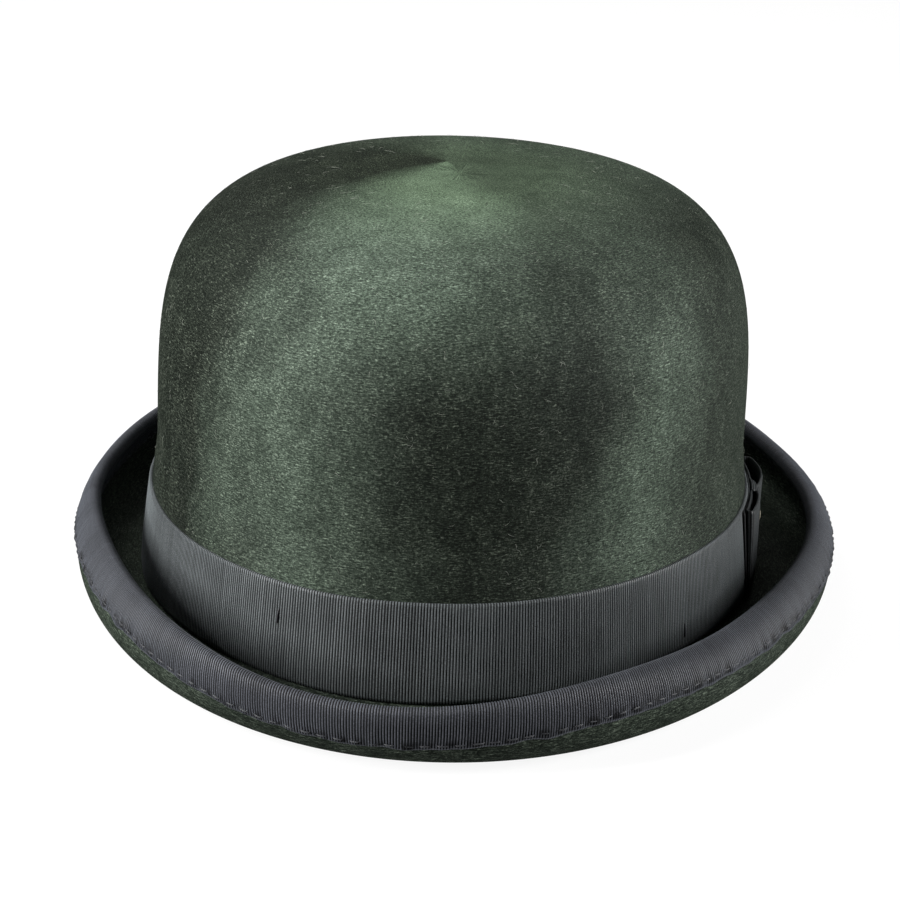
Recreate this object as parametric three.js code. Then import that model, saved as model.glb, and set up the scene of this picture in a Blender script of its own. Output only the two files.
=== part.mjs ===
// A bowler hat in green felt: stiff crown and curled brim in one shell, with a ribbed ribbon
// band and side bow, a ribbon-bound edge, a reeded leather sweatband and a satin lining.
// Millimetres, +Z up, front of the hat towards -Y, wearer's left towards +X.
// Angles round the hat run from the wearer's left (0) over the back (90 degrees).

import * as THREE from 'three';

const AROUND = 48; // steps round every ring
const GAP = 0.3; // air between pieces that touch
const FACET = 0.25; // how far a ring's flat steps stand off its true curve

// Head oval
const BASE_HALF_WIDTH = 88; // outside of the crown where it meets the brim
const OVAL_RATIO = 1.194; // length over width
const BACK_FULLNESS = 0.039; // the back of the oval is wider than the front

// Crown
const FELT = 2.6;
const CROWN_HEIGHT = 118; // from the brim's root line
const WALL_FOOT = 7; // the wall stands upright up to here
const WALL_TOP = 42; // the dome starts here
const DOME_HALF_WIDTH = 84.2;
const DOME_POWER_UP = 3.96;
const DOME_POWER_OUT = 3.81;
const DOME_STEPS = 8;

// Brim, each value as [front, back, side, diagonal extra, left minus right half]
const ROOT_RADIUS = 2.8;
const ROOT_HEIGHT = [0, 0.15, 0.3, 2.06, 0];
const REACH = [34.9, 45.7, 19.7, -1.97, 2.73];
const ROLL_RADIUS = [15.2, 17, 12.4, -3.76, -1.61];
const SLOPE = [-4.43, -3.03, 2.0, -3.09, -4.23];
const ROLL_TURN = [98.2, 93.4, 132.1, 37.9, 13.2];
const REST_DEPTH = 2.42; // underside of the brim below the root line
const LAND_DEPTH = 0.4; // how much of the underside is worn flat where the hat rests
const LIFT = REST_DEPTH - LAND_DEPTH;

// Ribbons
const RIBBON = 0.6; // thickness of the ribbed ribbon
const BAND_FOOT = 2.5; // above the root line
const BAND_TOP = 29.2;
const BINDING = 0.4;
const BINDING_GAP = 0.4; // wider, because both faces are doubly curved
const BINDING_WIDTH = 8.8; // on each face of the brim
const THREAD_RADIUS = 0.2;

const TACK_LENGTH = 4.5;
const TACKS = { // angle and height of each
  front_right: [-112.5, 20], front_left: [-33.5, 9.5], back_left: [62, 14], back_right: [128, 14],
};

// Bow on the wearer's left
const BOW_FOOT = 3.4;
const BOW_TOP = 28.4;
const BOW_OFFSET = 2 * GAP + RIBBON + FACET + 0.1; // inner face, clear of the band's facets
const BOW_ANGLE = 6.5; // degrees behind the middle of the side
const BOW_HALF_LENGTH = 25;
const REAR_LOOP_HEIGHT = 3.6; // how far the rear loop stands off the backing
const FRONT_LOOP_HEIGHT = 1.6;
const KNOT_HALF_LENGTH = 4.5;
const KNOT_RISE = 1.3; // the knot lies over the pinched loops

// Sweatband, measured inwards from the outside of the crown
const REED_RADIUS = 1.0;
const REED_DEPTH = 4.9;
const REED_HEIGHT = 3.6;
const TAPE = 0.5;
const TAPE_TOP = 13;
const LEATHER_DEPTH = 3.9;
const LEATHER = 0.9;
const LEATHER_FOOT = 5.2;
const LEATHER_TOP = 47;
const SWEAT_SEAM_HEIGHT = 8;

// Lining
const SATIN = 0.4;
const LINING_FOOT = 27; // tucked behind the sweatband
const LINING_SEAM_STEP = 5; // the dome step where the side meets the tip
const PIPING_RADIUS = 0.8;

const COLOURS = {
  felt: 0x2b352c, band: 0x24262b, binding: 0x2c2f36, thread: 0x4a4d52,
  leather: 0x5a3a22, reed: 0xb9b2a0, tape: 0x17171a, satin: 0x8a8f86, label: 0xe6e0d0,
};

function material(slot, roughness = 0.9) {
  return new THREE.MeshStandardMaterial({ color: COLOURS[slot], roughness, metalness: 0 });
}

// --- shape of the hat -------------------------------------------------------------------

const radians = THREE.MathUtils.degToRad;

function aroundBrim([front, back, side, diagonal, leftRight], angle) {
  const sideShare = Math.cos(angle) ** 2;
  const ends = Math.sin(angle) < 0 ? front : back;
  const diagonalShare = Math.sin(2 * angle) ** 2;
  return ends * (1 - sideShare) + side * sideShare + diagonal * diagonalShare
    + leftRight * Math.cos(angle);
}

function oval(angle, halfWidth) {
  const x = halfWidth * Math.cos(angle) * (1 + BACK_FULLNESS * Math.sin(angle));
  return new THREE.Vector3(x, halfWidth * OVAL_RATIO * Math.sin(angle), 0);
}

function outward(angle) {
  const step = 1e-4;
  const along = oval(angle + step, 1).sub(oval(angle - step, 1));
  return new THREE.Vector3(along.y, -along.x, 0).normalize();
}

function crownHalfWidth(height) {
  if (height <= WALL_FOOT) return BASE_HALF_WIDTH;
  if (height <= WALL_TOP) {
    const share = (height - WALL_FOOT) / (WALL_TOP - WALL_FOOT);
    return BASE_HALF_WIDTH + (DOME_HALF_WIDTH - BASE_HALF_WIDTH) * share;
  }
  const rise = Math.min((height - WALL_TOP) / (CROWN_HEIGHT - WALL_TOP), 1);
  return DOME_HALF_WIDTH * (1 - rise ** DOME_POWER_UP) ** (1 / DOME_POWER_OUT);
}

// A point at a height on the crown's outside, moved out (or in, below zero) square to it.
function onCrown(angle, height, offset) {
  const step = 0.05;
  const low = Math.min(height, CROWN_HEIGHT - step);
  const run = crownHalfWidth(low) - crownHalfWidth(low + step);
  const lean = height > WALL_TOP ? Math.atan2(run, step) : 0;
  const point = oval(angle, crownHalfWidth(height));
  point.z = height;
  const atTip = height >= CROWN_HEIGHT;
  const normal = atTip ? new THREE.Vector3() : outward(angle).multiplyScalar(Math.cos(lean));
  normal.z = atTip ? 1 : Math.sin(lean);
  return point.addScaledVector(normal, offset);
}

// Heights of the dome's rings, closer together towards the tip.
function domeHeights() {
  const turns = Array.from({ length: DOME_STEPS + 1 }, (_, i) => (Math.PI / 2 / DOME_STEPS) * i);
  return turns.map((turn) => WALL_TOP + (CROWN_HEIGHT - WALL_TOP) * Math.sin(turn));
}

function brimSection(angle) {
  const slope = radians(aroundBrim(SLOPE, angle));
  const turn = radians(aroundBrim(ROLL_TURN, angle));
  const roll = aroundBrim(ROLL_RADIUS, angle);
  const reach = aroundBrim(REACH, angle) + FELT / 2;
  const rootReach = ROOT_RADIUS * (1 + Math.sin(slope));
  const flat = Math.max((reach - rootReach - roll * (1 - Math.sin(slope))) / Math.cos(slope), 0.5);
  const root = ROOT_RADIUS * (Math.PI / 2 + slope);
  return { slope, turn, roll, flat, root, width: root + flat + roll * turn };
}

// A point on the brim: along is the length from the crown, offset is above the middle of the felt.
function onBrim(angle, along, offset) {
  const { slope, roll, flat, root, width } = brimSection(angle);
  const inside = Math.min(along, width);
  const rootTilt = Math.min(-Math.PI / 2 + inside / ROOT_RADIUS, slope);
  let out = ROOT_RADIUS * (1 + Math.sin(rootTilt));
  let up = ROOT_RADIUS * (1 - Math.cos(rootTilt));
  const onFlat = THREE.MathUtils.clamp(inside - root, 0, flat);
  const onRoll = Math.max(inside - root - flat, 0);
  const tilt = rootTilt + onRoll / roll;
  out += onFlat * Math.cos(slope) + roll * (Math.sin(tilt) - Math.sin(rootTilt));
  up += onFlat * Math.sin(slope) + roll * (Math.cos(rootTilt) - Math.cos(tilt));
  out += (along - inside) * Math.cos(tilt) - offset * Math.sin(tilt) - FELT / 2;
  up += (along - inside) * Math.sin(tilt) + offset * Math.cos(tilt);
  const point = oval(angle, BASE_HALF_WIDTH).addScaledVector(outward(angle), out);
  point.z = up + aroundBrim(ROOT_HEIGHT, angle);
  return point;
}

// --- building tools ---------------------------------------------------------------------

// A lathe whose every profile point is placed on the oval hat by a function of the angle.
function ringGeometry(places) {
  const profile = places.map((_, i) => new THREE.Vector2(1 + i, i));
  const geometry = new THREE.LatheGeometry(profile, AROUND);
  const position = geometry.attributes.position;
  for (let step = 0; step <= AROUND; step += 1) {
    const angle = (2 * Math.PI * (step % AROUND)) / AROUND;
    places.forEach((place, i) => {
      const point = place(angle);
      position.setXYZ(step * places.length + i, point.x, point.y, point.z + LIFT);
    });
  }
  geometry.computeVertexNormals();
  return geometry;
}

function closedRing(places) {
  return ringGeometry([...places, places[0]]);
}

function steps(from, to, count) {
  return Array.from({ length: count + 1 }, (_, i) => from + ((to - from) * i) / count);
}

function mesh(name, geometry, look) {
  const result = new THREE.Mesh(geometry, look);
  result.name = name;
  return result;
}

// A thread or cord that runs round the hat, centred on a place.
function cordRing(centre, radius, sides, out) {
  const corners = steps(0, 2 * Math.PI, sides).slice(0, sides);
  return closedRing(corners.map((turn) => (angle) => {
    const point = centre(angle).addScaledVector(out(angle), radius * Math.cos(turn));
    point.z += radius * Math.sin(turn);
    return point;
  }));
}

// A flat piece that follows the crown wall: outline points are [along the wall, offset] pairs.
function wallPiece([outline, ...holes], foot, top, middle) {
  const bend = BASE_HALF_WIDTH; // the outline is drawn on a round wall, then laid on the oval one
  const toPoints = (pairs) => pairs.map(([along, offset]) => (
    new THREE.Vector2(bend + offset, 0).rotateAround(new THREE.Vector2(), along / bend)));
  const edge = toPoints(outline);
  const shape = new THREE.Shape(THREE.ShapeUtils.isClockWise(edge) ? edge.reverse() : edge);
  holes.forEach((hole) => shape.holes.push(new THREE.Path(toPoints(hole))));
  const geometry = new THREE.ExtrudeGeometry(shape, { depth: top - foot, bevelEnabled: false });
  const perRadian = oval(middle + 0.01, BASE_HALF_WIDTH).distanceTo(oval(middle, BASE_HALF_WIDTH)) * 100;
  const position = geometry.attributes.position;
  for (let i = 0; i < position.count; i += 1) {
    const drawn = new THREE.Vector2(position.getX(i), position.getY(i));
    const angle = middle + (Math.atan2(drawn.y, drawn.x) * bend) / perRadian;
    const point = onCrown(angle, foot + position.getZ(i), drawn.length() - bend);
    position.setXYZ(i, point.x, point.y, point.z + LIFT);
  }
  geometry.computeVertexNormals();
  return geometry;
}

// A straight strip between two ends along the wall and two offsets, in steps that follow it.
function stripOutline(from, to, inner, outer, count = 8) {
  const there = steps(from, to, count).map((along) => [along, inner]);
  const back = steps(to, from, count).map((along) => [along, outer]);
  return [[...there, ...back]];
}

// A short upright stitch lying on the wall.
function stitch(angle, height, offset, length) {
  const geometry = new THREE.CylinderGeometry(THREAD_RADIUS, THREAD_RADIUS, length, 6);
  geometry.rotateX(Math.PI / 2);
  geometry.rotateZ(angle);
  const place = onCrown(angle, height, offset);
  geometry.translate(place.x, place.y, place.z + LIFT);
  return geometry;
}

// --- the pieces -------------------------------------------------------------------------

// Lengths from the crown: over the root, across the flat, up the roll and under the binding.
function brimStations() {
  const roll = ({ root, flat, width }) => width - BINDING_WIDTH - root - flat;
  return [
    ...[0.5, 1].map((share) => ({ root }) => root * share),
    ...[0.45, 0.85, 1].map((share) => ({ root, flat }) => root + flat * share),
    ...[0.15, 0.55].map((share) => (brim) => brim.root + brim.flat + roll(brim) * share),
    ...bindingStations(),
  ];
}

function bindingStations() {
  return steps(BINDING_WIDTH, 0, 3).map((back) => ({ width }) => width - back);
}

function feltBody() {
  const half = FELT / 2;
  const rootTop = (angle) => aroundBrim(ROOT_HEIGHT, angle) + ROOT_RADIUS;
  const wall = [...domeHeights().reverse(), 24];
  const outside = wall.map((height) => (angle) => onCrown(angle, height, 0));
  const inside = wall.map((height) => (angle) => onCrown(angle, height, -FELT)).reverse();
  const foot = (offset) => (angle) => onCrown(angle, rootTop(angle), offset);
  const brim = (offset) => brimStations().map((station) => (angle) => {
    const point = onBrim(angle, station(brimSection(angle)), offset);
    point.z = Math.max(point.z, -LIFT);
    return point;
  });
  const profile = [...outside, foot(0), ...brim(half), ...brim(-half).reverse(), foot(-FELT), ...inside];
  return ringGeometry(profile.reverse());
}

// A band round the wall, from a foot that may rise and fall to a level top.
function crownRing(foot, top, inner, outer) {
  const rows = [foot, () => WALL_FOOT, () => (WALL_FOOT + top) / 2, () => top];
  const side = (offset) => rows.map((row) => (angle) => onCrown(angle, row(angle), offset));
  return closedRing([...side(outer), ...side(inner).reverse()]);
}

function hatBand() {
  const foot = (angle) => aroundBrim(ROOT_HEIGHT, angle) + BAND_FOOT;
  return crownRing(foot, BAND_TOP, GAP, GAP + RIBBON);
}

function edgeBinding() {
  const near = FELT / 2 + BINDING_GAP;
  const far = near + BINDING;
  const side = (offset) => bindingStations().map((station) => (angle) => (
    onBrim(angle, station(brimSection(angle)), offset)));
  const cap = (radius) => steps(-45, 45, 1).map((degrees) => (angle) => onBrim(
    angle,
    brimSection(angle).width + radius * Math.cos(radians(degrees)),
    radius * Math.sin(radians(degrees)),
  ));
  const outer = [...side(-far), ...cap(far), ...side(far).reverse()];
  const inner = [...side(-near), ...cap(near), ...side(near).reverse()];
  return closedRing([...outer, ...inner.reverse()]);
}

function bindingThread(side) {
  const offset = side * (FELT / 2 + BINDING_GAP + BINDING + BINDING_GAP + THREAD_RADIUS);
  const centre = (angle) => onBrim(angle, brimSection(angle).width - BINDING_WIDTH + 1.6, offset);
  return cordRing(centre, THREAD_RADIUS, 4, outward);
}

// A ribbon loop seen from above: flat against the backing, rising from the knot to its far end.
function loopOutline(direction, height) {
  const base = BOW_OFFSET + RIBBON + GAP;
  const start = KNOT_HALF_LENGTH * 0.3;
  const end = BOW_HALF_LENGTH - 1.5;
  const turns = steps(0, Math.PI, 8);
  const line = (places, offset) => places.map((turn) => {
    const share = (1 - Math.cos(turn)) / 2;
    const belly = height * Math.sin(turn) ** 0.7 * share ** 0.6;
    return [direction * (start + (end - start) * share), base + offset(belly)];
  });
  const back = turns.slice().reverse();
  const outer = [...line(turns, (belly) => 1.6 * RIBBON + belly), ...line(back, () => 0)];
  const hollow = turns.slice(1, -1);
  const inner = [
    ...line(hollow, (belly) => 0.6 * RIBBON + belly),
    ...line(hollow.slice().reverse(), () => 0.5 * RIBBON),
  ];
  return [outer, inner];
}

function sideBow() {
  const ribbon = material('band');
  const middle = radians(BOW_ANGLE);
  const backing = stripOutline(-BOW_HALF_LENGTH, BOW_HALF_LENGTH, BOW_OFFSET, BOW_OFFSET + RIBBON);
  const knotFoot = BOW_OFFSET + RIBBON + GAP + 1.6 * RIBBON + KNOT_RISE;
  const knot = stripOutline(-KNOT_HALF_LENGTH, KNOT_HALF_LENGTH, knotFoot, knotFoot + RIBBON, 4);
  const bow = new THREE.Group();
  bow.add(
    mesh('bow_backing', wallPiece(backing, BOW_FOOT, BOW_TOP, middle), ribbon),
    mesh('bow_rear_loop', wallPiece(loopOutline(1, REAR_LOOP_HEIGHT), BOW_FOOT, BOW_TOP, middle), ribbon),
    mesh('bow_front_loop', wallPiece(loopOutline(-1, FRONT_LOOP_HEIGHT), BOW_FOOT, BOW_TOP, middle), ribbon),
    mesh('bow_knot', wallPiece(knot, BOW_FOOT, BOW_TOP, middle), ribbon),
    mesh('bow_tack', stitch(radians(3), 20, knotFoot + GAP, 3.5), material('thread')),
  );
  return bow;
}

// Single stitches that hold the band to the felt.
function threadTacks() {
  const tacks = new THREE.Group();
  const offset = 2 * GAP + RIBBON + THREAD_RADIUS + FACET;
  Object.entries(TACKS).forEach(([name, [degrees, height]]) => {
    const geometry = stitch(radians(degrees), height, offset, TACK_LENGTH);
    tacks.add(mesh(`band_tack_${name}`, geometry, material('thread')));
  });
  return tacks;
}

function sweatband() {
  const band = new THREE.Group();
  const inwards = -REED_DEPTH;
  const reedCentre = (angle) => onCrown(angle, REED_HEIGHT, inwards);
  const leather = crownRing(() => LEATHER_FOOT, LEATHER_TOP, -LEATHER_DEPTH - LEATHER, -LEATHER_DEPTH);
  const seamOffset = -LEATHER_DEPTH - LEATHER - GAP - THREAD_RADIUS;
  const seam = (angle) => onCrown(angle, SWEAT_SEAM_HEIGHT, seamOffset);
  band.add(
    mesh('sweatband', leather, material('leather', 0.55)),
    mesh('sweatband_reed', cordRing(reedCentre, REED_RADIUS, 5, outward), material('reed', 0.5)),
    mesh('reed_tape', reedTape(), material('tape', 0.8)),
    mesh('sweatband_thread', cordRing(seam, THREAD_RADIUS, 4, outward), material('thread')),
  );
  return band;
}

// The tape hooks under the reed and runs up between the leather and the felt.
function reedTape() {
  const near = REED_RADIUS + GAP + 0.1;
  const far = near + TAPE;
  const round = (radius) => steps(0, -180, 4).map((degrees) => (angle) => onCrown(
    angle,
    REED_HEIGHT + radius * Math.sin(radians(degrees)),
    -REED_DEPTH + radius * Math.cos(radians(degrees)),
  ));
  const end = (radius) => (angle) => onCrown(angle, REED_HEIGHT + 0.6, -REED_DEPTH - radius);
  const top = (radius) => (angle) => onCrown(angle, TAPE_TOP, -REED_DEPTH + radius);
  return closedRing([top(far), ...round(far), end(far), end(near), ...round(near).reverse(), top(near)].reverse());
}

function sweatbandBow() {
  const ribbon = material('band');
  const skin = -(LEATHER_DEPTH + LEATHER + GAP) - FACET;
  const back = Math.PI / 2;
  const place = (from, to, inner, outer) => (
    wallPiece(stripOutline(from, to, inner, outer, 3), 11, 18, back));
  const bow = new THREE.Group();
  bow.add(
    mesh('sweatband_bow_left', place(-13, -1.9, skin - 1.6, skin), ribbon),
    mesh('sweatband_bow_right', place(1.9, 13, skin - 1.6, skin), ribbon),
    mesh('sweatband_bow_knot', place(-1.6, 1.6, skin - 2.2, skin), ribbon),
  );
  return bow;
}

function lining() {
  const satin = material('satin', 0.45);
  const skin = -(FELT + GAP);
  const dome = domeHeights();
  const seamHeight = dome[LINING_SEAM_STEP];
  const sideHeights = [LINING_FOOT, ...dome.slice(0, LINING_SEAM_STEP), seamHeight - GAP];
  const tipHeights = [seamHeight + GAP, ...dome.slice(LINING_SEAM_STEP + 1)];
  const at = (height, offset) => (angle) => onCrown(angle, height, offset);
  const side = [
    ...sideHeights.map((height) => at(height, skin)),
    ...sideHeights.map((height) => at(height, skin - SATIN)).reverse(),
  ];
  const tip = [
    ...tipHeights.map((height) => at(height, skin - SATIN)).reverse(),
    ...tipHeights.map((height) => at(height, skin)),
  ];
  const seam = (angle) => onCrown(angle, seamHeight, skin - SATIN - GAP - FACET - PIPING_RADIUS);
  const result = new THREE.Group();
  result.add(
    mesh('lining_side', closedRing(side), satin),
    mesh('lining_tip', ringGeometry(tip), satin),
    mesh('lining_piping', cordRing(seam, PIPING_RADIUS, 4, outward), satin),
  );
  return result;
}

function sizeLabel() {
  const skin = -(LEATHER_DEPTH + LEATHER + GAP) - FACET;
  const outline = stripOutline(-8, 8, skin - 0.25, skin, 3);
  return mesh('size_label', wallPiece(outline, 26, 36, Math.PI), material('label'));
}

const hat = new THREE.Group();
hat.add(
  mesh('felt_body', feltBody(), material('felt', 0.95)),
  mesh('hat_band', hatBand(), material('band')),
  sideBow(),
  threadTacks(),
  mesh('edge_binding', edgeBinding(), material('binding')),
  mesh('binding_thread_outer', bindingThread(-1), material('thread')),
  mesh('binding_thread_inner', bindingThread(1), material('thread')),
  sweatband(),
  sweatbandBow(),
  lining(),
  sizeLabel(),
);

// The origin is on the resting plane, under the middle of the hat's outline.
const middle = new THREE.Box3().setFromObject(hat).getCenter(new THREE.Vector3());
hat.position.set(-middle.x, -middle.y, 0);

export default hat;
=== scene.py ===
# A bowler hat in green felt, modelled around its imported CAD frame.
# Shapes are worked out in millimetres with z = 0 on the brim's root line and the front towards -Y,
# then moved to the frame (metres, z = 0 on the plane the hat rests on).

import math

import bpy
import numpy as np
from mathutils import Matrix, Vector


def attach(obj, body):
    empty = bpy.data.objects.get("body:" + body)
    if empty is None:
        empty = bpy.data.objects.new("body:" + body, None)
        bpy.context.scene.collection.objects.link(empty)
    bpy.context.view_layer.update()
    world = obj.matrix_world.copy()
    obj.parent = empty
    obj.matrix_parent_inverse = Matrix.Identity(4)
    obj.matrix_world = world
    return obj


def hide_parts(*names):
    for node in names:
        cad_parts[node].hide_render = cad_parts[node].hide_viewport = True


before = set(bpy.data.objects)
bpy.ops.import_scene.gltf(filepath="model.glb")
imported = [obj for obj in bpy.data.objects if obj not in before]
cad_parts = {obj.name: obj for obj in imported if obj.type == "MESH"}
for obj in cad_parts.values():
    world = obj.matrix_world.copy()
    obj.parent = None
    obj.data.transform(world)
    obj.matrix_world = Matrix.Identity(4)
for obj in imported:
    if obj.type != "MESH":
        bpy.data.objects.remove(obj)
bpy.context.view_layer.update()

MM = 0.001
HAT_ORIGIN = np.array([-2.54, -5.42, 2.02])  # the head oval's centre in the frame

# Head oval and crown
BASE_HALF_WIDTH = 88.0
OVAL_RATIO = 1.194
BACK_FULLNESS = 0.039
FELT = 2.6
CROWN_HEIGHT = 118.0
WALL_FOOT = 7.0
WALL_TOP = 42.0
DOME_HALF_WIDTH = 84.2
DOME_POWER_UP = 3.96
DOME_POWER_OUT = 3.81

# Brim, each as (front, back, side, diagonal extra, left minus right half)
ROOT_RADIUS = 2.8
ROOT_HEIGHT = (0, 0.15, 0.3, 2.06, 0)
REACH = (34.9, 45.7, 19.7, -1.97, 2.73)
ROLL_RADIUS = (15.2, 17, 12.4, -3.76, -1.61)
SLOPE = (-4.43, -3.03, 2.0, -3.09, -4.23)
ROLL_TURN = (98.2, 93.4, 132.1, 37.9, 13.2)
LIFT = 2.02  # the root line above the plane the hat rests on

# Ribbons
RIBBON = 0.7
BAND_FOOT = 2.5
BAND_TOP = 29.2
BAND_RIB = 0.79
RIB_HEIGHT = 0.22
BINDING_WIDTH = 8.8
BINDING_OUT = FELT / 2 + 0.62
BINDING_RIB = 0.72
STITCH_PITCH = 4.35
STITCH_BACK = 1.6

# Bow
BOW_ANGLE = math.radians(6.5)
BOW_FOOT = 3.4
BOW_TOP = 28.4
BOW_OFFSET = 1.15
BOW_NEAR = 1.0
BOW_HALF_LENGTH = 25.0
REAR_LOOP_HEIGHT = 3.6
FRONT_LOOP_HEIGHT = 1.6
KNOT_HALF_LENGTH = 4.5

# Sweatband and lining
LEATHER_DEPTH = 3.9
LEATHER = 0.9
LEATHER_FOOT = 5.2
LEATHER_TOP = 47.0
ON_SWEATBAND = LEATHER_DEPTH + LEATHER + 0.35  # how deep the trims on its face lie
REED_DEPTH = 4.9
REED_HEIGHT = 3.6
REED_RADIUS = 1.0
TAPE = 0.5
TAPE_TOP = 13.0
LINING_FOOT = 27.0
LINING_SEAM = 105.2
SATIN = 0.4


# --- shape of the hat ---------------------------------------------------------------------


def around_brim(values, angle):
    front, back, side, diagonal, left_right = values
    side_share = np.cos(angle) ** 2
    ends = np.where(np.sin(angle) < 0, front, back)
    extra = diagonal * np.sin(2 * angle) ** 2 + left_right * np.cos(angle)
    return ends * (1 - side_share) + side * side_share + extra


def oval(angle, half_width):
    x = half_width * np.cos(angle) * (1 + BACK_FULLNESS * np.sin(angle))
    y = half_width * OVAL_RATIO * np.sin(angle)
    return np.stack([x, y, np.zeros_like(x)], -1)


def wall_length_per_radian(angle):
    ends = oval(np.array([angle, angle + 0.01]), BASE_HALF_WIDTH)
    return np.linalg.norm(ends[1] - ends[0]) * 100


def outward(angle):
    along = oval(angle + 1e-4, 1.0) - oval(angle - 1e-4, 1.0)
    normal = np.stack([along[..., 1], -along[..., 0], np.zeros_like(angle)], -1)
    return normal / np.linalg.norm(normal, axis=-1, keepdims=True)


def crown_half_width(height):
    share = np.clip((height - WALL_FOOT) / (WALL_TOP - WALL_FOOT), 0, 1)
    wall = BASE_HALF_WIDTH + (DOME_HALF_WIDTH - BASE_HALF_WIDTH) * share
    rise = np.clip((height - WALL_TOP) / (CROWN_HEIGHT - WALL_TOP), 0, 1)
    dome = DOME_HALF_WIDTH * (1 - rise**DOME_POWER_UP) ** (1 / DOME_POWER_OUT)
    return np.where(height > WALL_TOP, dome, wall)


def on_crown(angle, height, offset):
    """Points at a height on the crown's outside, moved out square to it."""
    angle, height, offset = np.broadcast_arrays(
        *(np.asarray(x, float) for x in (angle, height, offset))
    )
    step = 0.05
    low = np.minimum(height, CROWN_HEIGHT - step)
    run = crown_half_width(low) - crown_half_width(low + step)
    lean = np.where(height > WALL_TOP, np.arctan2(run, step), 0.0)
    point = oval(angle, crown_half_width(height))
    point[..., 2] = height
    normal = outward(angle) * np.cos(lean)[..., None]
    normal[..., 2] = np.sin(lean)
    return point + normal * offset[..., None]


def crown_heights(low, high, spacing):
    """Heights from low to high that are evenly spaced along the crown's side profile."""
    turn = np.linspace(0, math.pi / 2, 4000)
    dome = WALL_TOP + (CROWN_HEIGHT - WALL_TOP) * np.sin(turn)
    heights = np.concatenate([np.linspace(0, WALL_TOP, 400)[:-1], dome])
    heights = heights[(heights >= low) & (heights <= high)]
    steps = np.hypot(np.diff(heights), np.diff(crown_half_width(heights)))
    length = np.concatenate([[0], np.cumsum(steps)])
    count = max(2, int(length[-1] / spacing) + 1)
    return np.interp(np.linspace(0, length[-1], count), length, heights)


def brim_section(angle):
    slope = np.radians(around_brim(SLOPE, angle))
    turn = np.radians(around_brim(ROLL_TURN, angle))
    roll = around_brim(ROLL_RADIUS, angle)
    reach = around_brim(REACH, angle) + FELT / 2
    root_reach = ROOT_RADIUS * (1 + np.sin(slope))
    flat = np.maximum((reach - root_reach - roll * (1 - np.sin(slope))) / np.cos(slope), 0.5)
    root = ROOT_RADIUS * (math.pi / 2 + slope)
    return slope, roll, flat, root, root + flat + roll * turn


def brim_width(angle):
    return brim_section(angle)[-1]


def on_brim(angle, along, offset):
    """Points at a length along the brim from the crown, offset from the middle of the felt."""
    angle, along, offset = np.broadcast_arrays(
        *(np.asarray(x, float) for x in (angle, along, offset))
    )
    slope, roll, flat, root, width = brim_section(angle)
    inside = np.minimum(along, width)
    root_tilt = np.minimum(inside / ROOT_RADIUS - math.pi / 2, slope)
    on_flat = np.clip(inside - root, 0, flat)
    tilt = root_tilt + np.maximum(inside - root - flat, 0) / roll
    beyond = along - inside
    out = ROOT_RADIUS * (1 + np.sin(root_tilt)) + on_flat * np.cos(slope)
    out = out + roll * (np.sin(tilt) - np.sin(root_tilt)) + beyond * np.cos(tilt)
    out = out - offset * np.sin(tilt) - FELT / 2
    up = ROOT_RADIUS * (1 - np.cos(root_tilt)) + on_flat * np.sin(slope)
    up = up + roll * (np.cos(root_tilt) - np.cos(tilt)) + beyond * np.sin(tilt)
    up = up + offset * np.cos(tilt)
    point = oval(angle, BASE_HALF_WIDTH) + outward(angle) * out[..., None]
    point[..., 2] = up + around_brim(ROOT_HEIGHT, angle)
    return point


def even_angles(curve, pitch, per_pitch):
    """Angles evenly spaced along a closed curve, a whole number of pitches round it."""
    fine = np.linspace(0, 2 * math.pi, 6001)
    points = curve(fine)
    length = np.concatenate([[0], np.cumsum(np.linalg.norm(np.diff(points, axis=0), axis=1))])
    count = max(1, round(length[-1] / pitch)) * per_pitch
    wanted = np.arange(count) * length[-1] / count
    return np.interp(wanted, length, fine), np.arange(count + 1) * pitch / per_pitch


# --- mesh tools -----------------------------------------------------------------------------


def to_frame(points):
    return (np.asarray(points, float) + HAT_ORIGIN) * MM


def build(name, points, faces, uvs=None, smooth=True):
    """A mesh object from points in millimetres, turned to face outwards."""
    verts = to_frame(points)
    mesh = bpy.data.meshes.new(name)
    faces = [list(map(int, f)) for f in faces]
    if signed_volume(verts, faces) < 0:
        faces = [f[::-1] for f in faces]
        uvs = None if uvs is None else [uv[::-1] for uv in uvs]
    mesh.from_pydata(verts.tolist(), [], faces)
    if uvs is not None:
        layer = mesh.uv_layers.new(name="cloth")
        layer.data.foreach_set("uv", np.concatenate(uvs).astype(np.float32).ravel())
    mesh.polygons.foreach_set("use_smooth", [smooth] * len(mesh.polygons))
    mesh.update()
    piece = bpy.data.objects.new(name, mesh)
    bpy.context.scene.collection.objects.link(piece)
    return piece


def signed_volume(verts, faces):
    first = np.array([f[:3] for f in faces])
    last = np.array([[f[0], f[2], f[3]] for f in faces if len(f) == 4] or [[0, 0, 0]])
    triangles = np.concatenate([first, last])
    a, b, c = (verts[triangles[:, i]] for i in range(3))
    return float((a * np.cross(b, c)).sum())


def grid_faces(rows, columns, wrap_rows, wrap_columns):
    """Quads of a grid of points, and each corner's (row, column) before wrapping."""
    r = np.arange(rows if wrap_rows else rows - 1)
    c = np.arange(columns if wrap_columns else columns - 1)
    rr, cc = (x.ravel() for x in np.meshgrid(r, c, indexing="ij"))
    corner = np.stack(
        [np.stack([rr, cc], -1), np.stack([rr, cc + 1], -1), np.stack([rr + 1, cc + 1], -1),
         np.stack([rr + 1, cc], -1)], 1)
    index = (corner[..., 0] % rows) * columns + corner[..., 1] % columns
    return index, corner


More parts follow.
